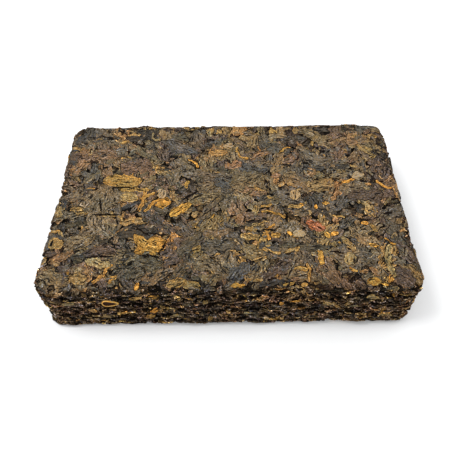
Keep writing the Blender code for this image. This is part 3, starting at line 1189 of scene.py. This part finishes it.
# Scattered layers from the bottom up: name, material, unshaped leaf, and settings with lengths in mm
LAYERS = (
    ("bed_leaves", dark, bit_blank, dict(
        Seed=1.0, Spacing=2.8, Shortest=4.0, Longest=9.0, Slimmest=0.35, Broadest=0.7)),
    ("long_edge_flakes", edgy, flake_blank, dict(
        ON_EDGE, Seed=31.0, Spacing=2.3, Shortest=3.0, Longest=10.0, Slimmest=0.25, Broadest=0.45,
        Turn=0.35, Sink=0.9, Thickness=0.34, Bow=0.9, Crumple=0.3, Raggedness=0.15)),
    ("short_edge_flakes", edgy, short_blank, dict(
        ON_EDGE, Seed=32.0, Spacing=1.6, Shortest=1.2, Longest=4.0, Slimmest=0.5, Broadest=0.9,
        Turn=0.9, Sink=0.7, Thickness=0.40, Bow=0.8, Crumple=0.25, Raggedness=0.2)),
    ("side_rubble", rubbly, bit_blank, dict(
        SIDES, Seed=36.0, Spacing=2.45, Shortest=1.2, Longest=4.0, Slimmest=0.25, Broadest=0.6,
        Turn=1.0, Sink=0.6, Taper=0.3, Gap=0.25, Lift=0.3)),
    ("shoulder_rubble", rubbly, bit_blank, dict(
        Top_share=0.0, Base_share=0.0, Shoulder_share=1.0, Seed=37.0, Spacing=1.75, Shortest=1.5,
        Longest=4.5, Slimmest=0.3, Broadest=0.7, Turn=1.2, Sink=0.6, Taper=0.3, Gap=0.3, Lift=0.3)),
    ("leaf_bits", leafy, bit_blank, dict(
        Seed=51.0, Spacing=3.2, Shortest=2.5, Longest=7.0, Slimmest=0.3, Broadest=0.7, Taper=0.3)),
    ("strip_leaves", leafy, strip_blank, dict(
        Seed=21.0, Spacing=5.2, Shortest=8.0, Longest=22.0, Slimmest=0.15, Broadest=0.34, Roll=0.08,
        Arc=0.45)),
    ("broad_leaves", leafy, broad_blank, dict(
        Seed=41.0, Spacing=8.0, Shortest=8.0, Longest=16.0, Slimmest=0.35, Broadest=0.6,
        Taper=0.5, Arc=0.4)),
    ("small_bits", leafy, bit_blank, dict(
        Seed=52.0, Spacing=3.9, Shortest=1.5, Longest=5.0, Slimmest=0.2, Broadest=0.6, Taper=0.3,
        Side_share=0.3, Gap=0.3)),
    ("golden_bits", golden, bit_blank, dict(
        Seed=61.0, Spacing=9.5, Shortest=1.0, Longest=4.2, Slimmest=0.2, Broadest=0.6, Taper=0.3,
        Raggedness=0.5, Side_share=0.8, Gap=0.25)),
    ("stems", golden, stem_blank, dict(
        Seed=71.0, Spacing=18.0, Shortest=4.0, Longest=12.0, Slimmest=0.06, Broadest=0.11,
        Taper=0.15, Side_share=0.3, Roll=0.0, Thickness=0.4, Arc=2.2, Sway=0.7, Raggedness=0.1,
        Crumple=0.1, Pleats=0.0)),
)

# Leaves listed one by one and laid over them: name, material, unshaped leaf, face, settings, and
# seats as seats_by_hand() reads them
PLACED = (
    ("large_golden_leaves", golden, broad_blank, on_top, dict(
        Raggedness=0.2, Taper=0.55, Arc=0.15, Pleats=0.2, Thickness=0.4), (
        (-43.6, 9.7, 0, 16.5, 8.4, 0.52),
        (44.4, -23.7, -62, 7.5, 2.4, 0.10),
        (-26, -3.4, 5, 6.0, 5.5, 0.72),
        (-19, -6.4, 38, 10, 4.0, 0.70),
        (-40, -0.7, -6, 7.5, 5.0, 0.20),
        (-47.5, -30.8, -18, 10, 4.0, 0.0),
        (-65, -22.4, 8, 6.0, 5.0, 0.35),
        (-53.7, -38.5, 12, 6.5, 5.5, 0.25),
        (-4.5, 25.4, 190, 8.0, 4.0, 0.30),
        (51, -40.4, 10, 5.0, 3.5, 0.75),
        (-18.5, -40.6, 18, 7.0, 4.0, 0.30),
        (43, -30.6, 80, 5.6, 4.6, 0.05),
    )),
    ("pointed_golden_leaf", golden, broad_blank, on_top, dict(
        Raggedness=0.12, Taper=0.8, Arc=0.1, Thickness=0.4, Lift=0.0), (
        (-31.2, -23.2, -42, 13.0, 4.6, 0.60),
        (-29.2, -23.9, 24, 12.5, 5.6, 0.66),
        (-29.0, -25.4, 2, 10.0, 5.6, 0.68),
    )),
    ("large_dark_leaves", leafy, broad_blank, on_top, dict(
        Raggedness=0.35, Taper=0.45, Arc=0.3, Thickness=0.4), (
        (-51, -0.7, 95, 17, 13, 0.68),
        (-38.8, 18.2, 5, 13, 8.0, 0.40),
        (-47.6, -26.2, 4, 12, 4.5, 0.20),
        (-29.3, -31.5, -14, 10, 7.5, 0.27),
        (-13.7, -23.7, 55, 14, 5.0, 0.14),
        (-4.0, -23.5, 4, 12, 7.0, 0.27),
        (3.7, -35.8, 53, 10, 5.0, 0.22),
        (54.7, -0.3, 14, 14, 6.0, 0.24),
        (61.5, -38.8, -28, 9.0, 7.0, 0.23),
        (28, -24.9, -2, 19, 3.0, 0.12),
        (7.7, 8.7, 24, 15, 8.0, 0.50),
        (37, 22.5, -28, 14, 7.0, 0.60),
        (-21, 30.2, -21, 18, 6.0, 0.30),
        (8.6, 16.8, -34, 13, 5.0, 0.30),
        (-3.8, -17.9, 12, 12, 3.0, 0.66),
        (-9.0, 5.0, 28, 7.5, 4.0, 0.66),
        (-8.8, -32.2, -8, 8.0, 4.5, 0.55),
        (-3.0, -34.6, -43, 8.5, 3.5, 0.72),
    )),
    # Near-black strips, painted shade where cracks open in the top
    ("deep_cracks", crack_shade, strip_blank, on_top, dict(
        Raggedness=0.5, Taper=0.4, Arc=0.3, Thickness=0.22, Lift=0.05, Gap=0.1, Roll=0.0), (
        (-48.0, -8.6, -1, 10.6, 0.8, 0.0),
        (-50.7, -3.9, -78, 6.4, 0.6, 0.0),
        (-43.5, 5.7, -2, 11.0, 0.7, 0.0),
        (-27.6, -28.6, -12, 4.2, 0.8, 0.0),
        (-32.6, -17.7, -36, 6.6, 0.7, 0.0),
        (-26.5, -18.7, -8, 7.3, 0.7, 0.0),
        (-15.6, 0.8, 39, 8.4, 0.9, 0.0),
        (-12.8, 0.0, 36, 6.3, 0.6, 0.0),
        (-47.4, -28.6, 2, 10.6, 0.8, 0.0),
        (-31.4, -28.3, -13, 4.5, 0.6, 0.0),
        (-24.6, -25.2, 66, 6.0, 0.7, 0.0),
        (52.2, -12.3, -6, 5.7, 0.9, 0.0),
        (61.7, -9.2, 15, 3.8, 1.1, 0.0),
        (39.7, -27.5, -11, 5.1, 0.6, 0.0),
        (1.5, -9.8, 20, 2.4, 1.0, 0.0),
        (-53.0, 35.9, -18, 8.8, 0.8, 0.0),
        (15.1, -16.7, -6, 4.9, 0.7, 0.0),
        (-54.0, 5.0, 30, 2.4, 0.8, 0.0),
        (-52.0, 17.5, 0, 2.2, 0.9, 0.0),
    )),
    ("orange_chips", golden, bit_blank, on_top, dict(
        Raggedness=0.3, Taper=0.5, Arc=0.1, Pleats=0.0, Roll=0.2), (
        (28.6, -4.6, 20, 2.2, 1.5, 1.0),
        (34.3, -5.7, 70, 1.8, 1.4, 1.0),
        (38.4, -4.2, -10, 2.6, 1.4, 0.7),
        (17.8, -19.4, 10, 3.4, 2.6, 0.6),
        (23.1, -19.0, -30, 2.6, 1.6, 1.0),
        (25.3, -20.4, 10, 2.2, 1.6, 1.0),
        (37.0, -19.6, -50, 3.0, 1.8, 0.9),
        (40.0, -19.2, 30, 3.2, 1.8, 0.9),
        (52.1, -14.1, 0, 2.6, 1.4, 0.9),
        (2.2, -41.2, 20, 2.6, 1.6, 0.8),
        (4.3, -41.6, 0, 2.2, 1.4, 1.0),
        (21.1, -40.6, 18, 4.2, 1.6, 0.7),
        (26.3, -41.1, 10, 2.4, 1.4, 0.6),
        (10.3, -39.2, 10, 3.4, 1.6, 0.3),
        (-32.5, -41.6, 85, 3.2, 1.4, 1.0),
        (57.4, -39.4, 50, 4.2, 1.8, 0.9),
    )),
    ("front_chips", golden, bit_blank, on_front, dict(
        Raggedness=0.3, Taper=0.5, Arc=0.1, Thickness=1.2, Gap=0.2), (
        (24.0, 17.2, 6, 4.6, 1.3, 0.9),
        (-27.5, 11.4, 15, 3.2, 2.0, 0.9),
        (-33.4, 20.4, 2, 4.6, 1.0, 0.5),
        (-26.5, 21.4, 10, 3.4, 1.4, 0.7),
        (-8.3, 16.8, 40, 2.2, 1.8, 0.2),
        (0.7, 17.3, 50, 2.0, 1.6, 0.2),
        (50.9, 19.5, 8, 4.4, 2.4, 0.2),
        (19.0, 15.6, 40, 1.6, 1.4, 0.9),
        (-14.1, 20.4, -30, 3.2, 1.0, 0.5),
        (66.0, 11.3, 5, 3.0, 2.0, 0.3),
        (-29.6, 7.4, 10, 3.4, 1.8, 0.5),
        (-50.0, 12.5, -10, 2.8, 1.4, 0.4),
        (36.0, 16.5, 4, 5.0, 1.4, 0.1),
        (45.0, 14.0, -6, 6.0, 1.6, 0.0),
        (8.0, 9.5, 3, 5.0, 1.5, 0.0),
        (-58.0, 17.0, 5, 5.0, 1.6, 0.0),
        (-45.0, 8.0, -4, 4.4, 1.2, 0.1),
        (-19.0, 8.5, 6, 4.0, 1.6, 0.1),
        (58.5, 7.5, -5, 5.0, 1.4, 0.1),
        (30.0, 6.0, 5, 4.2, 1.4, 0.2),
    )),
    ("curled_stems", golden, stem_blank, on_top, dict(
        Raggedness=0.2, Taper=0.15, Arc=1.2, Sway=0.7, Roll=0.0, Pleats=0.0, Thickness=0.35,
        Gap=0.3), (
        (-38, 4.6, -2, 12, 1.5, 0.55),
        (-33.8, -1.0, -98, 13, 1.4, 0.50),
        (-32.5, 1.0, 30, 6.0, 1.2, 0.60),
        (17.9, -8.4, -17, 10, 1.1, 0.60),
        (15.2, -5.4, 10, 5.0, 1.0, 0.45),
        (15.7, -27.2, -17, 7.0, 1.1, 0.45),
        (25.9, -5.4, 6, 5.5, 1.3, 0.50),
        (33.4, -30.2, -84, 6.2, 2.0, 0.82),
        (28.9, -36.5, -88, 8.0, 1.0, 0.50),
        (26, -34.6, 5, 5.0, 1.5, 0.50),
        (57.3, -31.5, -94, 15, 2.2, 0.05),
        (62.6, 5.1, -43, 7.5, 0.9, 1.0),
        (58.4, 26.3, -46, 11, 1.3, 0.35),
        (23.3, -26.2, 26, 6.0, 1.8, 0.30),
        (-66, 29.2, -8, 5.5, 1.4, 0.40),
        (-42, 37.7, -1, 6.0, 1.2, 0.40),
    )),
    ("red_leaf", reddish, broad_blank, on_top, dict(
        Raggedness=0.3, Taper=0.3, Arc=0.2), (
        (33.3, -15, -28, 7.6, 3.9, 1.0),
        (2.0, 17.6, 5, 7.0, 4.0, 0.0),
        (19.7, 11.1, 10, 3.8, 2.8, 0.0),
    )),
    ("leaf_buds", buds, bud_blank, on_top, dict(
        Raggedness=0.05, Taper=0.55, Arc=0.1, Roll=0.5, Pleats=0.0, Sway=0.0, Gap=0.45), (
        (-0.1, 30.4, 10, 4.4, 3.6, 0.9),
        (-27, 2.1, 60, 4.8, 4.2, 1.0),
        (53.6, 10.8, 10, 5.0, 4.4, 1.0),
        (26.6, 0.7, 80, 5.0, 4.2, 0.85),
        (26.6, -19.7, 0, 4.8, 3.8, 1.0),
        (53.7, 31.4, 20, 4.8, 4.0, 0.0),
    )),
)


def lay_leaves(core, form):
    """Lays every layer on the core, from the bottom up, and gives back the leaf pieces."""
    ground = helper_collection("ground")
    ground.objects.link(core)
    grow = grow_leaves_group()
    scatter, by_hand = scatter_leaves_tree(grow, hollows_group()), place_leaves_tree(grow)
    common = {"Form": form, "Ground": ground}
    laid = []

    def lay(piece):
        ground.objects.link(piece)
        laid.append(piece)

    for name, material, blank, settings in LAYERS:
        lay(made_by(scatter, name, Material=material, Blank=blank, **common, **settings))
    for name, material, blank, face, settings, rows in PLACED:
        seats = seats_by_hand(name, face, rows)
        settings = {"Order": 1.0, "Gap": 0.32, **settings}
        lay(made_by(by_hand, name, seats, Material=material, Blank=blank, **common, **settings))
    middle = Vector((-42.4 * MM, LOW.y + 0.05 * MM, 18.3 * MM))
    lay(folded_leaf("folded_leaf", middle, 5.8 * MM, 3.0 * MM, 0.34 * MM, 0.5 * MM, pale))
    bpy.context.scene.collection.children.unlink(ground)
    return laid


def without_buried(laid):
    """The laid pieces, last first, each without the leaves that the ones after it hide.

    The flakes on edge stay whole, and hide nothing.
    """
    drop = drop_buried_tree()
    cover = helper_collection("cover")
    shown = []
    for piece in reversed(laid):
        if "edge_flakes" not in piece.name:
            if cover.objects:
                whole, name = piece, piece.name
                material = whole.data.materials[0]
                piece = made_by(drop, name, Leaves=whole, Cover=cover, Material=material)
                bpy.data.objects.remove(whole)
                piece.name = piece.data.name = name
            cover.objects.link(piece)
        shown.append(piece)
    bpy.context.scene.collection.children.unlink(cover)
    return shown


camera()
studio()
form = outer_form()
core = core_piece(form, packed)
pieces = [core, *without_buried(lay_leaves(core, form))]

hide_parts(BRICK)
for piece in pieces:
    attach(piece, BODY)
